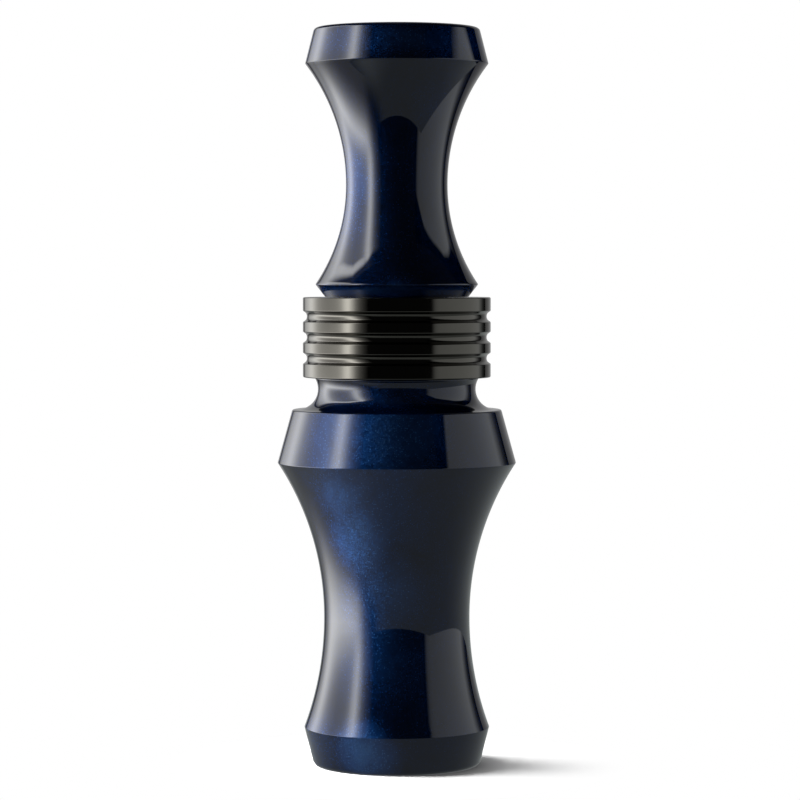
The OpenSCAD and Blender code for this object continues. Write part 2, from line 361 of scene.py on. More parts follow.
@dataclass(frozen=True)
class PearlAcrylic:
    """Deep blue cast acrylic: fine metal flake in drifting cloud-like patches under a tinted, polished
    surface, partly painted sheen: most cloud middles lie on the front left, where the left light's sheen
    falls.

    A cloud is its middle, its reach and its strength; a layer is its height, its reach and its strength.
    Both are in millimetres.
    """

    name: str = "pearl_acrylic"
    deep_flake: Colour = (0.06, 0.62, 1.0)
    near_flake: Colour = (0.72, 1.0, 1.0)
    depth: Colour = (0.032, 0.080, 0.225)
    thin: float = 0.13
    flake_range: Range = (0.15, 1.0)
    flake_roughness: float = 0.5
    polish_scale: float = 900.0
    polish_depth: float = 4e-7
    polish_roughness: float = 0.022
    cloud_scale: float = 110.0
    drift_range: Range = (0.32, 0.68)
    drift_gain: Range = (0.6, 1.4)
    grain_scale: float = 6200.0
    grain_tilt: float = 0.30
    spark_scale: float = 3700.0
    spark_gain: float = 1.7
    spark_edge: Range = (0.15, 0.45)
    spark_pick: Range = (0.55, 0.95)
    between_sparks: float = 0.82
    # Extra pearl in cloud-like patches: the acrylic's own swirls, and painted sheen where most of them lie,
    # on the front left under the left light's sheen.
    sheen_and_pearl_clouds: tuple[tuple[Place, float, float], ...] = (
        ((-6.0, -14.4, 43.0), 15.0, 0.36),
        ((-8.0, -13.4, 43.0), 7.0, 0.50),
        ((-10.8, -12.8, 46.1), 7.0, 0.30),
        ((-6.4, -11.6, 36.9), 6.5, 0.85),
        ((-3.0, -11.4, 27.5), 9.5, 0.55),
        ((-2.8, -11.6, 17.0), 10.0, 0.18),
        ((-4.9, -12.4, 3.4), 7.0, 1.30),
        ((-12.1, -5.7, 3.7), 7.0, 0.70),
        ((-11.0, -13.1, 54.7), 7.0, 0.42),
        ((0.0, -17.1, 54.7), 11.0, 0.50),
        ((-7.7, -3.6, 85.7), 6.0, 0.40),
        ((-7.2, -3.4, 92.9), 7.0, 0.70),
        ((-7.8, -3.7, 99.1), 7.0, 0.22),
        ((0.0, -12.6, 75.2), 5.0, 0.45),
        ((8.0, 12.0, 40.0), 16.0, 0.5),
        ((10.0, 8.0, 12.0), 12.0, 0.35),
        ((4.0, 8.0, 98.0), 13.0, 0.35),
    )
    layers: tuple[tuple[float, float, float], ...] = ((75.9, 1.2, 1.5), (115.0, 3.6, 0.26))

    def amount(self, nodes: Nodes, place: bpy.types.NodeSocket) -> bpy.types.NodeSocket:
        """Return how much pearl there is at a place, painted sheen included, before its grains are picked
        out.

        Args:
            nodes: The node tree.
            place: The place, in metres.

        Returns:
            The cloud-like patches, partly painted sheen, and the layers together, broken up by a slow
            drift.
        """
        amount = self.thin
        # Partly painted sheen: most cloud middles lie on the front left, under the left light's sheen.
        for centre, reach, weight in self.sheen_and_pearl_clouds:
            away = nodes.vector("DISTANCE", place, tuple(c * MM for c in centre)).outputs["Value"]
            amount = nodes.maths("ADD", amount, nodes.span(away, 0.0, reach * MM, weight, 0.0, smooth=True))
        height = nodes.split(place)[2]
        for middle, reach, weight in self.layers:
            away = nodes.maths("ABSOLUTE", nodes.maths("SUBTRACT", height, middle * MM))
            amount = nodes.maths("ADD", amount, nodes.span(away, 0.0, reach * MM, weight, 0.0, smooth=True))
        drift = nodes.noise(place, self.cloud_scale, detail=6.0, roughness=0.68, distortion=0.3)
        return nodes.maths("MULTIPLY", amount, nodes.span(drift, *self.drift_range, *self.drift_gain))

    def build(self) -> bpy.types.Material:
        """Return the material."""
        nodes = Nodes(bpy.data.materials.new(self.name))
        place = nodes.place()
        grains = nodes.cells(place, self.grain_scale)
        toss = nodes.vector("SUBTRACT", grains.outputs["Color"], (0.5, 0.5, 0.5)).outputs[0]
        lean = nodes.vector("SCALE", toss)
        lean.inputs["Scale"].default_value = self.grain_tilt
        plain = nodes.add("ShaderNodeNewGeometry").outputs["Normal"]
        leaning = nodes.vector("ADD", plain, lean.outputs[0]).outputs[0]
        facing = nodes.vector("NORMALIZE", leaning).outputs[0]
        sparks = nodes.cells(place, self.spark_scale)
        pick = nodes.add("ShaderNodeSeparateColor")
        nodes.join(sparks.outputs["Color"], pick.inputs[0])
        spot = nodes.span(sparks.outputs["Distance"], *self.spark_edge, self.spark_gain, 0.0)
        spark = nodes.maths("MULTIPLY", spot, nodes.span(pick.outputs[0], *self.spark_pick))
        grain = nodes.maths("ADD", spark, self.between_sparks)
        amount = nodes.maths("MULTIPLY", self.amount(nodes, place), grain)
        flake = nodes.mix(nodes.span(amount, *self.flake_range), self.deep_flake, self.near_flake)
        polish = nodes.bump(nodes.noise(place, self.polish_scale), self.polish_depth, 0.5)
        shader = nodes.surface(
            Base_Color=nodes.mix(amount, (0.0, 0.0, 0.0), flake), Metallic=1.0,
            Roughness=self.flake_roughness, Normal=facing, Coat_Weight=1.0,
            Coat_Roughness=self.polish_roughness, Coat_IOR=1.5, Coat_Tint=self.depth,
        )
        nodes.join(polish, shader.inputs["Coat Normal"])
        return nodes.owner


@dataclass(frozen=True)
class GunmetalBand:
    """Dark polished metal with the fine rings that turning leaves."""

    name: str = "gunmetal_band"
    colour: Colour = (0.072, 0.069, 0.062)
    lift: float = 1.12
    smudge_scale: float = 260.0
    roughness: Range = (0.07, 0.12)
    ring_scale: float = 9000.0
    ring_stretch: Place = (0.02, 0.02, 1.0)
    ring_depth: float = 6e-7

    def build(self) -> bpy.types.Material:
        """Return the material."""
        nodes = Nodes(bpy.data.materials.new(self.name))
        place = nodes.place()
        rings = nodes.noise(nodes.stretched(place, self.ring_stretch), self.ring_scale)
        smudge = nodes.noise(place, self.smudge_scale, detail=3.0)
        nodes.surface(
            Base_Color=nodes.mix(smudge, self.colour, tuple(c * self.lift for c in self.colour)),
            Metallic=1.0, Roughness=nodes.span(smudge, *NOISE_RANGE, *self.roughness),
            Normal=nodes.bump(rings, self.ring_depth, 0.6),
        )
        return nodes.owner


@dataclass(frozen=True)
class BoardAcrylic:
    """Ivory acrylic with the fine lines of a cutter."""

    name: str = "tone_board_acrylic"
    colour: Colour = (0.78, 0.73, 0.62)
    dull: float = 0.93
    haze_scale: float = 300.0
    roughness: Range = (0.28, 0.4)
    line_scale: float = 5200.0
    line_stretch: Place = (0.12, 0.12, 1.0)
    line_depth: float = 2e-6
    glow_share: float = 0.08
    glow_reach: Place = (0.0009, 0.0008, 0.0007)

    def build(self) -> bpy.types.Material:
        """Return the material."""
        nodes = Nodes(bpy.data.materials.new(self.name))
        place = nodes.place()
        lines = nodes.noise(nodes.stretched(place, self.line_stretch), self.line_scale)
        haze = nodes.noise(place, self.haze_scale, detail=3.0)
        nodes.surface(
            Base_Color=nodes.mix(haze, tuple(c * self.dull for c in self.colour), self.colour),
            Roughness=nodes.span(lines, *NOISE_RANGE, *self.roughness), Subsurface_Weight=self.glow_share,
            Subsurface_Radius=self.glow_reach, Subsurface_Scale=1.0,
            Normal=nodes.bump(lines, self.line_depth, 0.5),
        )
        return nodes.owner


@dataclass(frozen=True)
class ReedFilm:
    """Milky polyester film, a little see-through, with fine scuffs along it."""

    name: str = "reed_film"
    colour: Colour = (0.80, 0.84, 0.87)
    dull: float = 0.9
    see_through: float = 0.35
    roughness: Range = (0.26, 0.42)
    scuff_scale: float = 7000.0
    scuff_stretch: Place = (1.0, 1.0, 0.06)
    scuff_depth: float = 1.5e-6

    def build(self) -> bpy.types.Material:
        """Return the material."""
        nodes = Nodes(bpy.data.materials.new(self.name))
        along = nodes.stretched(nodes.place(), self.scuff_stretch)
        scuffs = nodes.noise(along, self.scuff_scale, detail=3.0)
        nodes.surface(
            Base_Color=nodes.mix(scuffs, tuple(c * self.dull for c in self.colour), self.colour),
            Roughness=nodes.span(scuffs, *NOISE_RANGE, *self.roughness),
            Transmission_Weight=self.see_through, IOR=1.6,
            Normal=nodes.bump(scuffs, self.scuff_depth, 0.5),
        )
        return nodes.owner


@dataclass(frozen=True)
class Cork:
    """Pressed cork: tan grains with darker joints and a few dark specks."""

    name: str = "cork"
    pale: Colour = (0.56, 0.36, 0.19)
    dark: Colour = (0.33, 0.18, 0.085)
    joint: Colour = (0.10, 0.05, 0.025)
    grain_scale: float = 1100.0
    joint_width: float = 0.09
    joint_slope: float = 0.2
    speck_scale: float = 3800.0
    speck_range: Range = (0.6, 0.72)
    relief: float = 5e-5

    def build(self) -> bpy.types.Material:
        """Return the material."""
        nodes = Nodes(bpy.data.materials.new(self.name))
        place = nodes.place()
        grains = nodes.cells(place, self.grain_scale)
        joints = nodes.cells(place, self.grain_scale, "DISTANCE_TO_EDGE").outputs["Distance"]
        pick = nodes.add("ShaderNodeSeparateColor")
        nodes.join(grains.outputs["Color"], pick.inputs[0])
        body = nodes.mix(pick.outputs[0], self.pale, self.dark)
        near = nodes.span(joints, 0.0, self.joint_width, 1.0, 0.0)
        specks = nodes.span(nodes.noise(place, self.speck_scale, detail=3.0), *self.speck_range)
        colour = nodes.mix(nodes.maths("MAXIMUM", near, specks), body, self.joint)
        height = nodes.maths("SUBTRACT", nodes.span(joints, 0.0, self.joint_slope), specks)
        nodes.surface(Base_Color=colour, Roughness=0.86, Specular_IOR_Level=0.25,
                      Normal=nodes.bump(height, self.relief, 0.7))
        return nodes.owner


@dataclass(frozen=True)
class RingRubber:
    """Black rubber with a thin bloom."""

    name: str = "o_ring_rubber"
    colour: Colour = (0.014, 0.014, 0.015)
    bloom_colour: Colour = (0.05, 0.05, 0.052)
    bloom_scale: float = 2600.0
    bloom_range: Range = (0.45, 0.8)
    bloom_depth: float = 6e-6
    roughness: Range = (0.42, 0.6)

    def build(self) -> bpy.types.Material:
        """Return the material."""
        nodes = Nodes(bpy.data.materials.new(self.name))
        bloom = nodes.noise(nodes.place(), self.bloom_scale, detail=3.0)
        nodes.surface(
            Base_Color=nodes.mix(nodes.span(bloom, *self.bloom_range), self.colour, self.bloom_colour),
            Roughness=nodes.span(bloom, *NOISE_RANGE, *self.roughness),
            Normal=nodes.bump(bloom, self.bloom_depth, 0.5),
        )
        return nodes.owner


# The call


@dataclass
class Barrel:
    """The turned barrel with its waist, lanyard groove and bore, and its band, in millimetres."""

    bore: float = 7.95
    lead_in: float = 0.5
    mouth_depth: float = 7.0
    mouth_flare: float = 2.3
    mouth_round: float = 0.4
    lip: float = 13.3
    lip_round: float = 0.9
    lip_edge: Point = (14.8, 6.1)
    waist: Point = (11.65, 23.7)
    shoulder: float = 19.05
    shoulder_bevel: Point = (2.35, 8.5)
    shoulder_round: float = 0.35
    groove_radius: float = 3.28
    groove_floor: float = 12.6
    groove_drop: float = 1.85
    band_seat: float = 12.7
    crease_round: float = 0.22
    band_height: float = 12.8
    band_radius: float = 15.0
    band_gap: float = 0.02
    band_round: float = 0.22
    ring_count: int = 3
    ring_pitch: float = 3.34
    ring_depth: float = 0.65
    ring_width: float = 1.8
    land_round: float = 0.2
    steps: int = 256
    length: float = field(default_factory=lambda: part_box("barrel")[1][2] / MM)

    def outline(self) -> list[Point]:
        """Return the barrel's closed outline."""
        band_bottom = self.length - self.band_height
        groove = (self.groove_floor + self.groove_radius, band_bottom - self.groove_drop)
        top = groove[1] - self.groove_radius
        shoulder = (self.shoulder, top - self.shoulder_bevel[1])
        shoulder_top = (self.shoulder - self.shoulder_bevel[0], top)
        mouth = (self.bore + self.mouth_flare, 0.0)
        lip = (self.lip, 0.0)
        flare = flare_curve(self.bore, self.mouth_flare, self.mouth_depth)
        throat = [(r, self.mouth_depth - z) for r, z in flare]
        lower = waist_curve(self.waist, self.lip_edge, 26)[::-1]
        upper = waist_curve(self.waist, shoulder, 40)
        under_band = 180 - math.degrees(math.asin(self.groove_drop / self.groove_radius))
        return [
            *throat[:-2],
            *rounded(throat[-2], mouth, lip, self.mouth_round),
            *rounded(mouth, lip, self.lip_edge, self.lip_round, 8),
            *rounded(lip, self.lip_edge, lower[0], self.crease_round),
            *lower[:-1],
            *upper,
            *rounded(upper[-1], shoulder, shoulder_top, self.crease_round),
            *rounded(shoulder, shoulder_top, (groove[0], top), self.shoulder_round),
            *arc(groove, self.groove_radius, 270, under_band, 22),
            (self.band_seat, band_bottom),
            (self.band_seat, self.length),
            (self.bore + self.lead_in, self.length),
            (self.bore, self.length - self.lead_in),
        ]

    def band_outline(self) -> list[Point]:
        """Return the band's closed outline, its grooves rounded at their rims."""
        low = self.length - self.band_height + self.band_gap
        inner = self.band_seat + self.band_gap
        half = self.ring_width / 2
        cutter = (half * half + self.ring_depth**2) / (2 * self.ring_depth)
        middle = self.band_radius + cutter - self.ring_depth
        reach = math.degrees(math.asin(half / cutter))
        first = self.length - self.band_height / 2 - self.ring_pitch * (self.ring_count - 1) / 2
        foot, corner = (self.band_radius, low), (self.band_radius, self.length)
        points = [(inner, low)]
        points += rounded((inner, low), foot, corner, self.band_round)
        for i in range(self.ring_count):
            centre = (middle, first + i * self.ring_pitch)
            hollow = arc(centre, cutter, 180 + reach, 180 - reach, 12)
            below = (self.band_radius, hollow[0][1] - 1)
            above = (self.band_radius, hollow[-1][1] + 1)
            points += rounded(below, hollow[0], hollow[3], self.land_round, 4)
            points += hollow[3:-3]
            points += rounded(hollow[-4], hollow[-1], above, self.land_round, 4)
        points += rounded(foot, corner, (inner, self.length), self.band_round)
        points.append((inner, self.length))
        return points

    def build(self, acrylic: bpy.types.Material, metal: bpy.types.Material) -> None:
        """Build and dress the barrel and its band."""
        shell = turned("barrel_shell", self.outline(), self.steps)
        weigh_normals(shell)
        dress(shell, acrylic)
        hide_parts("barrel")
        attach(shell, Body.BARREL.value)
        band = turned("grooved_band", self.band_outline(), self.steps)
        weigh_normals(band)
        dress(band, metal)
        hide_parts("band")
        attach(band, Body.BARREL.value)


@dataclass
class Insert:
    """The turned insert with its waist, rim and flared exhaust, in millimetres."""

    seat: float = 11.45
    heel_edge: Point = (13.0, 2.0)
    waist: Point = (8.1, 17.9)
    rim_edge: float = 14.6
    rim_height: float = 5.7
    rim_top: float = 13.15
    rim_round: float = 0.75
    crease_round: float = 0.22
    exhaust: float = 5.0
    flare: float = 4.4
    flare_length: float = 20.0
    mouth_round: float = 0.4
    socket: float = 6.35
    socket_depth: float = 13.02
    steps: int = 256
    low: float = field(default_factory=lambda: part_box("insert")[0][2] / MM)
    high: float = field(default_factory=lambda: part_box("insert")[1][2] / MM)

    def outline(self) -> list[Point]:
        """Return the insert's closed outline."""
        seat = (self.seat, self.low)
        heel = (self.heel_edge[0], self.low + self.heel_edge[1])
        waist = (self.waist[0], self.low + self.waist[1])
        edge = (self.rim_edge, self.high - self.rim_height)
        top = (self.rim_top, self.high)
        mouth = (self.exhaust + self.flare, self.high)
        start = self.high - self.flare_length
        bell = [(r, start + z) for r, z in flare_curve(self.exhaust, self.flare, self.flare_length, 24)]
        lower = waist_curve(waist, heel, 30)[::-1]
        upper = waist_curve(waist, edge, 34)
        inside = (self.socket, self.low)
        return [
            *rounded(inside, seat, heel, self.crease_round),
            *rounded(seat, heel, lower[0], self.crease_round),
            *lower[:-1],
            *upper,
            *rounded(upper[-1], edge, top, self.crease_round),
            *rounded(edge, top, mouth, self.rim_round, 8),
            *rounded(top, mouth, bell[-2], self.mouth_round),
            *bell[-2::-1],
            (self.exhaust, self.low + self.socket_depth),
            (self.socket, self.low + self.socket_depth),
            inside,
        ]

    def build(self, acrylic: bpy.types.Material) -> None:
        """Build and dress the insert."""
        shell = turned("insert_shell", self.outline(), self.steps)
        weigh_normals(shell)
        dress(shell, acrylic)
        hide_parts("insert")
        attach(shell, Body.INSERT.value)


@dataclass
class ToneBoard:
    """The tone board, its O-rings, the wedge and the two reeds, in millimetres and degrees."""

    board_crease: float = 24.0
    ring_round: float = 0.78
    ring_sides: int = 24
    ring_steps: int = 120
    reed_width: float = 13.6
    reed_columns: int = 28
    reed_rows: int = 150
    tip_round: float = 3.0
    heel_round: float = 0.6
    bend_share: float = 0.95
    dimple_height: float = 9.0
    dimple_radius: float = 1.1
    dimple_depth: float = 0.1
    plug: float = 7.8
    plug_sides: int = 96
    roof_fall: float = 0.948
    wedge_crease: float = 30.0
    wedge_round: float = 0.12

    def build_board(self, acrylic: bpy.types.Material) -> None:
        """Keep the tone board's own solid, smooth its turned faces and dress it."""
        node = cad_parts["tone_board"]
        mesh = node.data.copy()
        shape = bmesh.new()
        shape.from_mesh(mesh)
        bmesh.ops.remove_doubles(shape, verts=shape.verts, dist=2e-6)
        for face in shape.faces:
            face.smooth = True
        crease = math.radians(self.board_crease)
        for edge in shape.edges:
            edge.smooth = len(edge.link_faces) == 2 and edge.calc_face_angle() < crease
        shape.to_mesh(mesh)
        shape.free()
        board = bpy.data.objects.new("finished_tone_board", mesh)
        bpy.context.scene.collection.objects.link(board)
        dress(board, acrylic)
        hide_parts("tone_board")
        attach(board, Body.INSERT.value)

    def build_o_rings(self, rubber: bpy.types.Material) -> None:
        """Build both O-rings."""
        last = 360 - 360 / self.ring_sides
        for name in ("o_ring_upper", "o_ring_lower"):
            low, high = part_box(name)
            centre = ((high[0] / MM) - self.ring_round, (low[2] + high[2]) / 2 / MM)
            section = arc(centre, self.ring_round, 0, last, self.ring_sides - 1)
            ring = turned(f"{name}_seal", section, self.ring_steps)
            dress(ring, rubber)
            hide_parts(name)
            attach(ring, Body.O_RINGS.value)

    def build_wedge(self, cork: bpy.types.Material) -> None:
        """Cut the cork wedge from a round blank, as it is cut to sit inside the bore."""
        low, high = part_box("wedge")
        plug, fall = self.plug * MM, self.roof_fall * MM
        middle = Matrix.Translation((0, 0, (low[2] + high[2]) / 2))
        shape = bmesh.new()
        bmesh.ops.create_cone(shape, cap_ends=True, segments=self.plug_sides, radius1=plug, radius2=plug,
                              depth=high[2] - low[2], matrix=middle)
        roof = Vector((0, low[2] - high[2], fall)).normalized()
        cuts = [
            (Vector((0, high[1], 0)), Vector((0, 1, 0))),
            (Vector((low[0], 0, 0)), Vector((-1, 0, 0))),
            (Vector((high[0], 0, 0)), Vector((1, 0, 0))),
            (Vector((0, low[1], low[2])), roof),
        ]
        for point, outwards in cuts:
            every = shape.verts[:] + shape.edges[:] + shape.faces[:]
            made = bmesh.ops.bisect_plane(shape, geom=every, plane_co=point, plane_no=outwards,
                                          clear_outer=True)
            rim = [e for e in made["geom_cut"] if isinstance(e, bmesh.types.BMEdge)]
            bmesh.ops.contextual_create(shape, geom=rim)
        shared = [e for e in shape.edges if len(e.link_faces) == 2]
        sharp = [e for e in shared if e.calc_face_angle() > math.radians(self.wedge_crease)]
        bmesh.ops.bevel(shape, geom=sharp, offset=self.wedge_round * MM, offset_type="OFFSET",
                        affect="EDGES", segments=2, profile=0.5, material=-1, clamp_overlap=True)
        wedge = finish_mesh("cork_wedge", shape)
        weigh_normals(wedge)
        dress(wedge, cork)
        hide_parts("wedge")
        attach(wedge, Body.WEDGE.value)

    def half_width(self, height: float, tip: float, heel: float) -> float:
        """Return half the reed's width at a height, in metres, with its corners rounded."""
        half = self.reed_width / 2 * MM
        for end, radius in ((tip, self.tip_round * MM), (heel, self.heel_round * MM)):
            inside = abs(height - end)
            if inside < radius:
                return half - radius + math.sqrt(max(radius**2 - (radius - inside) ** 2, 0.0))
        return half

    def build_reed(self, which: str, film: bpy.types.Material, dimple: bool) -> None:
        """Build one reed as a single strip, from its tip to its heel.

        Args:
            which: First word of the reed's nodes.
            film: The reed's material.
            dimple: Whether the reed has the small dimple that keeps it off the one below.
        """
        heel_low, heel_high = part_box(f"{which}_reed_heel")
        tongue_low, tongue_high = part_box(f"{which}_reed_tongue")
        tip, heel = tongue_low[2], heel_high[2]
        shape = bmesh.new()
        bmesh.ops.create_grid(shape, x_segments=self.reed_columns, y_segments=self.reed_rows, size=0.5)
        for vert in shape.verts:
            across, along = vert.co.x * 2, vert.co.y + 0.5
            eased = (1 - math.cos(math.pi * along)) / 2
            height = tip + (heel - tip) * eased
            vert.co = Vector((across * self.half_width(height, tip, heel), heel_high[1], height))
        every = shape.faces[:]
        made = bmesh.ops.extrude_face_region(shape, geom=every)
        top = [v for v in made["geom"] if isinstance(v, bmesh.types.BMVert)]
        bmesh.ops.translate(shape, verts=top, vec=(0, heel_low[1] - heel_high[1], 0))
        if dimple:
            self.press_dimple(shape, tip)
        reed = finish_mesh(f"{which}_reed", shape, 1e-8)
        dress(reed, film)
        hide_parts(f"{which}_reed_heel", f"{which}_reed_tongue")
        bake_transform(reed)

    def press_dimple(self, shape: bmesh.types.BMesh, tip: float) -> None:
        """Press a shallow round dimple towards the reed below."""
        height = tip + self.dimple_height * MM
        for vert in shape.verts:
            away = math.hypot(vert.co.x, vert.co.z - height) / (self.dimple_radius * MM)
            if away < 1:
                vert.co.y += self.dimple_depth * MM * (1 + math.cos(math.pi * away)) / 2

    def build(self, acrylic: bpy.types.Material, rubber: bpy.types.Material,
              cork: bpy.types.Material, film: bpy.types.Material) -> None:
        """Build and dress everything that the tone board carries."""
        self.build_board(acrylic)
        self.build_o_rings(rubber)
        self.build_wedge(cork)
        self.build_reed("lower", film, dimple=False)
        self.build_reed("upper", film, dimple=True)


# The studio


@dataclass
class Studio:
    """A small light tent on a pale table, and the camera, in metres.

    Azimuths are in degrees from the camera's side, negative on its left. The lists give a brightness, or
    an edge's height, at azimuths; foot_share and foot_level are given at heights.
    """

    wall_steps: int = 72
    left_radius: float = 0.33
    left_bottom: float = -0.30
    left_top: float = 0.46
    left_span: Range = (-160, -33)
    left_strength: float = 7.8
    left_tint: Colour = (1.0, 1.0, 0.985)
    left_fade: Range = (-0.025, 0.02)
    left_beyond: float = 0.03
    top_line: Range = (0.03, 0.075)
    top_line_level: float = 0.8
    right_radius: float = 0.25
    right_top: float = 0.26
    right_span: Range = (40, 136)
    right_tint: Colour = (0.97, 1.0, 1.0)
    right_fade: Range = (-0.008, 0.008)
    table_left: float = 0.130
    table_right: float = 0.165
    table_front: float = 0.134
    table_back: float = 0.28
    lip_height: float = 0.0135
    table_drop: float = 0.0006
    table_level: float = 0.33
    table_tint: Colour = (0.95, 1.02, 1.0)
    table_cover: Range = (-0.118, -0.052)
    # Painted pool of light on the table card, near the left light; the card is also painted brighter
    # towards the back.
    table_light_pool: Place = (-0.078, -0.02, 0.0)
    table_light_pool_reach: float = 0.085
    table_light_pool_level: float = 0.45
    table_depth: Range = (-0.02, 0.08)
    table_depth_level: Range = (-0.03, 0.07)
    floor_radius: float = 4.0
    floor_white: float = 0.93
    floor_fade: Range = (0.009, 0.037)
    light_size: float = 0.42
    light_power: float = 14.0
    light_azimuth: float = -100
    light_distance: float = 0.36
    light_height: float = 0.36
    light_aim: float = 0.02
    world_floor: float = 0.015
    camera_distance: float = 0.5213
    camera_height: float = 0.07899
    aim_height: float = 0.05846
    aim_right: float = 0.00051
    lens: float = 146.8
    sensor: float = 36.0
    left_wall: tuple[Point, ...] = (
        (-158, 0.0), (-150, 0.11), (-145, 0.18), (-140, 0.24), (-135, 0.33), (-130, 0.45), (-125, 0.52),
        (-120, 0.48), (-110, 0.30), (-100, 0.23), (-90, 0.205), (-80, 0.24), (-75, 0.29), (-70, 0.42),
        (-65, 0.75), (-60, 0.94), (-55, 0.55), (-50, 0.205), (-45, 0.08), (-40, 0.03), (-34, 0.0),
    )
    # The foot's glow below the table's height is a painted reflection of the table's lit left side.
    left_foot: tuple[Point, ...] = (
        (-155, 0.0), (-145, 0.08), (-140, 0.13), (-135, 0.24), (-130, 0.40), (-125, 0.58), (-120, 0.70),
        (-110, 0.86), (-100, 0.92), (-90, 0.97), (-80, 1.0), (-75, 0.97), (-70, 0.92), (-65, 0.82),
        (-60, 0.58), (-55, 0.3), (-50, 0.11), (-45, 0.05), (-38, 0.0),
    )
    foot_share: tuple[Point, ...] = (
        (-0.012, 1.0), (0.0, 0.9), (0.007, 0.75), (0.022, 0.5), (0.037, 0.26), (0.052, 0.13), (0.070, 0.07),
        (0.090, 0.03), (0.115, 0.0),
    )
    foot_level: tuple[Point, ...] = (
        (-0.30, 0.05), (-0.225, 0.065), (-0.18, 0.075), (-0.14, 0.12), (-0.11, 0.19), (-0.09, 0.27),
        (-0.07, 0.4), (-0.05, 0.6), (-0.03, 0.83), (-0.01, 1.0),
    )
    left_edge: tuple[Point, ...] = (
        (-150, 0.22), (-130, 0.26), (-120, 0.29), (-110, 0.325), (-100, 0.365), (-90, 0.40), (-70, 0.405),
        (-60, 0.39), (-50, 0.36),
    )
    right_wall: tuple[Point, ...] = (
        (42, 0.0), (47, 0.55), (52, 0.68), (60, 0.72), (70, 0.79), (84, 0.87), (96, 0.94), (108, 1.0),
        (116, 0.98), (121, 0.5), (127, 0.1), (134, 0.0),
    )
    right_edge: tuple[Point, ...] = (
        (44, 0.125), (50, 0.15), (60, 0.198), (70, 0.216), (80, 0.224), (100, 0.228), (110, 0.208),
        (122, 0.17),
    )
    world_level: tuple[Point, ...] = (
        (-180, 0.42), (-160, 0.5), (-150, 0.4), (-140, 0.0), (132, 0.0), (138, 0.2), (150, 0.27),
        (160, 0.38), (180, 0.42),
    )

    @staticmethod
    def azimuth(nodes: Nodes, place: bpy.types.NodeSocket) -> bpy.types.NodeSocket:
        """Return the azimuth of a place, as a share of a full turn from 0 to 1."""
        right, back, _ = nodes.split(place)
        turn = nodes.maths("ARCTAN2", right, nodes.maths("MULTIPLY", back, -1.0))
        return nodes.maths("ADD", nodes.maths("DIVIDE", turn, 2 * math.pi), 0.5)

    @staticmethod
    def around(nodes: Nodes, turn: bpy.types.NodeSocket, marks: Sequence[Point]) -> bpy.types.NodeSocket:
        """Return a level that is given at azimuths in degrees."""
        return nodes.ramp(turn, [(degrees / 360 + 0.5, level) for degrees, level in marks])

    @staticmethod
    def upward(nodes: Nodes, height: bpy.types.NodeSocket, marks: Sequence[Point]) -> bpy.types.NodeSocket:
        """Return a level that is given at heights in metres."""
        low, high = marks[0][0], marks[-1][0]
        return nodes.ramp(nodes.span(height, low, high), [((z - low) / (high - low), v) for z, v in marks])

    def wall(self, name: str, radius: float, low: float, high: float, span: Range) -> bpy.types.Object:
        """Build part of an upright round wall.

        Args:
            name: The new object's name.
            radius: Radius of the wall.
            low: Height of its foot.
            high: Height of its top.
            span: First and last azimuth.

        Returns:
            The wall.
        """
        shape = bmesh.new()
        start = math.radians(span[0])
        x, y = radius * math.sin(start), -radius * math.cos(start)
        ends = [shape.verts.new((x, y, low)), shape.verts.new((x, y, high))]
        edge = shape.edges.new(ends)
        bmesh.ops.spin(shape, geom=[*ends, edge], axis=(0, 0, 1), cent=(0, 0, 0),
                       angle=math.radians(span[1] - span[0]), steps=self.wall_steps, use_duplicate=False)
        return finish_mesh(name, shape)

    @staticmethod
    def shine(piece: bpy.types.Object, nodes: Nodes, level: bpy.types.NodeSocket, strength: float,
              tint: Colour, cover: object = 1.0) -> None:
        """Make a piece glow for reflections only.

        Args:
            piece: The piece.
            nodes: Its material's node tree.
            level: How bright it is, from place to place.
            strength: The brightness of a full level.
            tint: The light's colour.
            cover: How solid it is, from place to place.
        """
        glow = nodes.add("ShaderNodeEmission")
        glow.inputs["Strength"].default_value = strength
        nodes.join(nodes.mix(1.0, level, tint, "MULTIPLY"), glow.inputs["Color"])
        nodes.blend(cover, nodes.add("ShaderNodeBsdfTransparent"), glow)
        piece.data.materials.append(nodes.owner)
        for flag in ("visible_camera", "visible_diffuse", "visible_shadow", "visible_transmission"):
            setattr(piece, flag, False)

    def build_left_wall(self) -> None:
        """Build the left wall: a window with brighter edges, over a foot that runs below the table; below
        the table's height the foot's glow is a painted reflection of the table's lit left side.
        """
        piece = self.wall("left_wall", self.left_radius, self.left_bottom, self.left_top, self.left_span)
        nodes = Nodes(bpy.data.materials.new("left_wall"))
        place = nodes.place()
        turn, height = self.azimuth(nodes, place), nodes.split(place)[2]
        wall = self.around(nodes, turn, self.left_wall)
        foot = self.around(nodes, turn, self.left_foot)
        edge = nodes.maths("SUBTRACT", self.around(nodes, turn, self.left_edge), height)
        line = nodes.span(edge, *self.top_line, self.top_line_level, 0.0, smooth=True)
        wall = nodes.maths("MAXIMUM", wall, nodes.maths("MULTIPLY", foot, line))
        below = nodes.span(edge, *self.left_fade, self.left_beyond, 1.0, smooth=True)
        wall = nodes.maths("MULTIPLY", wall, below)
        # Painted reflection of the lit table: the foot glows brightest just below the table's height.
        foot = nodes.maths("MULTIPLY", foot, self.upward(nodes, height, self.foot_level))
        level = nodes.mix(self.upward(nodes, height, self.foot_share), wall, foot)
        self.shine(piece, nodes, level, self.left_strength, self.left_tint)

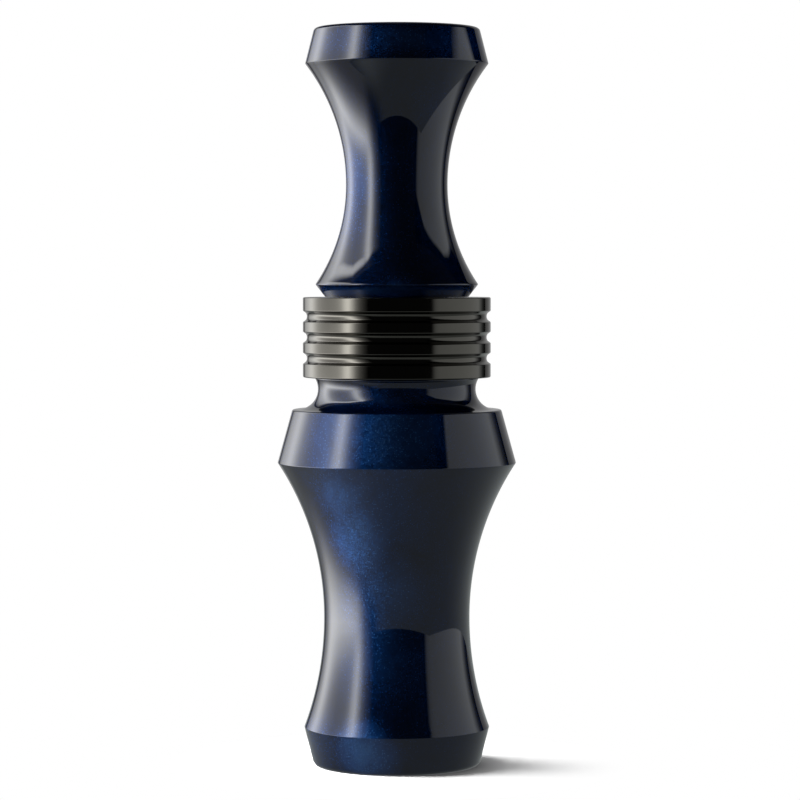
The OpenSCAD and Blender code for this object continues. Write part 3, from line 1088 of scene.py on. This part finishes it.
    def build_right_wall(self) -> None:
        """Build the dim right wall, with its slanted top edge."""
        piece = self.wall("right_wall", self.right_radius, -self.right_top, self.right_top, self.right_span)
        nodes = Nodes(bpy.data.materials.new("right_wall"))
        place = nodes.place()
        turn = self.azimuth(nodes, place)
        edge = nodes.maths("SUBTRACT", self.around(nodes, turn, self.right_edge), nodes.split(place)[2])
        below = nodes.span(edge, *self.right_fade)
        level = nodes.maths("MULTIPLY", self.around(nodes, turn, self.right_wall), below)
        self.shine(piece, nodes, level, 1.0, self.right_tint)

    def build_table(self) -> None:
        """Build the glowing card that the polished pieces see as the table: a painted reflection of the lit
        table.

        It fades out on the left. Its lip stands full height along the front and a third of it at the back.
        """
        width, depth = self.table_left + self.table_right, self.table_front + self.table_back
        middle = Vector((self.table_right - self.table_left, self.table_back - self.table_front, 0.0)) / 2
        middle.z = -self.table_drop
        shape = bmesh.new()
        bmesh.ops.create_grid(shape, x_segments=1, y_segments=1, size=0.5,
                              matrix=Matrix.Translation(middle) @ Matrix.Diagonal((width, depth, 1.0, 1.0)))
        shape.normal_update()
        front = [e for e in shape.edges if all(v.co.y < 0 for v in e.verts)]
        right = [e for e in shape.edges if all(v.co.x > 0 for v in e.verts)]
        made = bmesh.ops.extrude_edge_only(shape, edges=front + right)
        for vert in (v for v in made["geom"] if isinstance(v, bmesh.types.BMVert)):
            vert.co.z += self.lip_height if vert.co.y < 0 else self.lip_height / 3
        piece = finish_mesh("table_glow", shape)
        nodes = Nodes(bpy.data.materials.new("table_glow"))
        place = nodes.place()
        across, back, _ = nodes.split(place)
        # Painted pool of light near the left light, and painted brightening towards the back.
        near = nodes.vector("DISTANCE", place, self.table_light_pool).outputs["Value"]
        bright = nodes.span(near, 0.0, self.table_light_pool_reach, self.table_light_pool_level, 0.0, smooth=True)
        behind = nodes.span(back, *self.table_depth, *self.table_depth_level)
        level = nodes.maths("ADD", nodes.maths("ADD", bright, behind), self.table_level)
        cover = nodes.span(across, *self.table_cover, smooth=True)
        self.shine(piece, nodes, level, 1.0, self.table_tint, cover)

    def build_floor(self) -> None:
        """Build the pale floor. It takes a shadow near the call and is plain white further out."""
        shape = bmesh.new()
        bmesh.ops.create_circle(shape, cap_ends=True, segments=64, radius=self.floor_radius)
        floor = finish_mesh("floor", shape)
        nodes = Nodes(bpy.data.materials.new("floor_white"))
        matt = nodes.add("ShaderNodeBsdfDiffuse")
        nodes.feed((self.floor_white,) * 3, matt.inputs["Color"])
        white = nodes.add("ShaderNodeEmission")
        away = nodes.vector("LENGTH", nodes.place()).outputs["Value"]
        nodes.blend(nodes.span(away, *self.floor_fade, smooth=True), matt, white)
        floor.data.materials.append(nodes.owner)
        floor.visible_glossy = False

    def build_light(self) -> None:
        """Build the soft light that the floor's shadow comes from."""
        light = bpy.data.lights.new("window", "AREA")
        light.shape = "RECTANGLE"
        light.size, light.size_y = self.light_size, self.light_size
        light.energy = self.light_power
        lamp = bpy.data.objects.new("window", light)
        bpy.context.scene.collection.objects.link(lamp)
        angle, away = math.radians(self.light_azimuth), self.light_distance
        spot = Vector((math.sin(angle) * away, -math.cos(angle) * away, self.light_height))
        lamp.location = spot
        lamp.rotation_euler = (Vector((0, 0, self.light_aim)) - spot).to_track_quat("-Z", "Y").to_euler()
        for flag in ("visible_camera", "visible_glossy"):
            setattr(lamp, flag, False)

    def build_world(self) -> None:
        """Build the surroundings: white to the camera, dim behind the call and dark elsewhere."""
        world = bpy.data.worlds.new("surroundings")
        bpy.context.scene.world = world
        nodes = Nodes(world)
        way = nodes.add("ShaderNodeTexCoord").outputs["Generated"]
        level = self.around(nodes, self.azimuth(nodes, way), self.world_level)
        dim = nodes.add("ShaderNodeBackground")
        nodes.join(nodes.maths("ADD", level, self.world_floor), dim.inputs["Color"])
        white = nodes.add("ShaderNodeBackground")
        nodes.feed((1.0, 1.0, 1.0), white.inputs["Color"])
        seen = nodes.add("ShaderNodeLightPath").outputs["Is Camera Ray"]
        nodes.blend(seen, dim, white, "ShaderNodeOutputWorld")

    def build_camera(self) -> None:
        """Set the camera in front of the call, a little above its middle."""
        camera = bpy.data.cameras.new("camera")
        camera.lens = self.lens
        camera.sensor_width = self.sensor
        eye = bpy.data.objects.new("camera", camera)
        bpy.context.scene.collection.objects.link(eye)
        eye.location = (self.aim_right, -self.camera_distance, self.camera_height)
        aim = Vector((self.aim_right, 0.0, self.aim_height)) - eye.location
        eye.rotation_euler = aim.to_track_quat("-Z", "Y").to_euler()
        bpy.context.scene.camera = eye

    def build(self) -> None:
        """Build the whole studio."""
        self.build_camera()
        self.build_left_wall()
        self.build_right_wall()
        self.build_table()
        self.build_floor()
        self.build_light()
        self.build_world()
        bpy.context.scene.view_settings.view_transform = "Standard"
        LOG.info("studio: camera, walls, table, floor, light and surroundings")


def main() -> None:
    """Build the studio and the call, piece by piece."""
    logging.basicConfig(level=logging.INFO, format="%(name)s: %(message)s")
    Studio().build()
    acrylic = PearlAcrylic().build()
    Barrel().build(acrylic, GunmetalBand().build())
    Insert().build(acrylic)
    ToneBoard().build(BoardAcrylic().build(), RingRubber().build(), Cork().build(), ReedFilm().build())


if __name__ == "__main__":
    main()
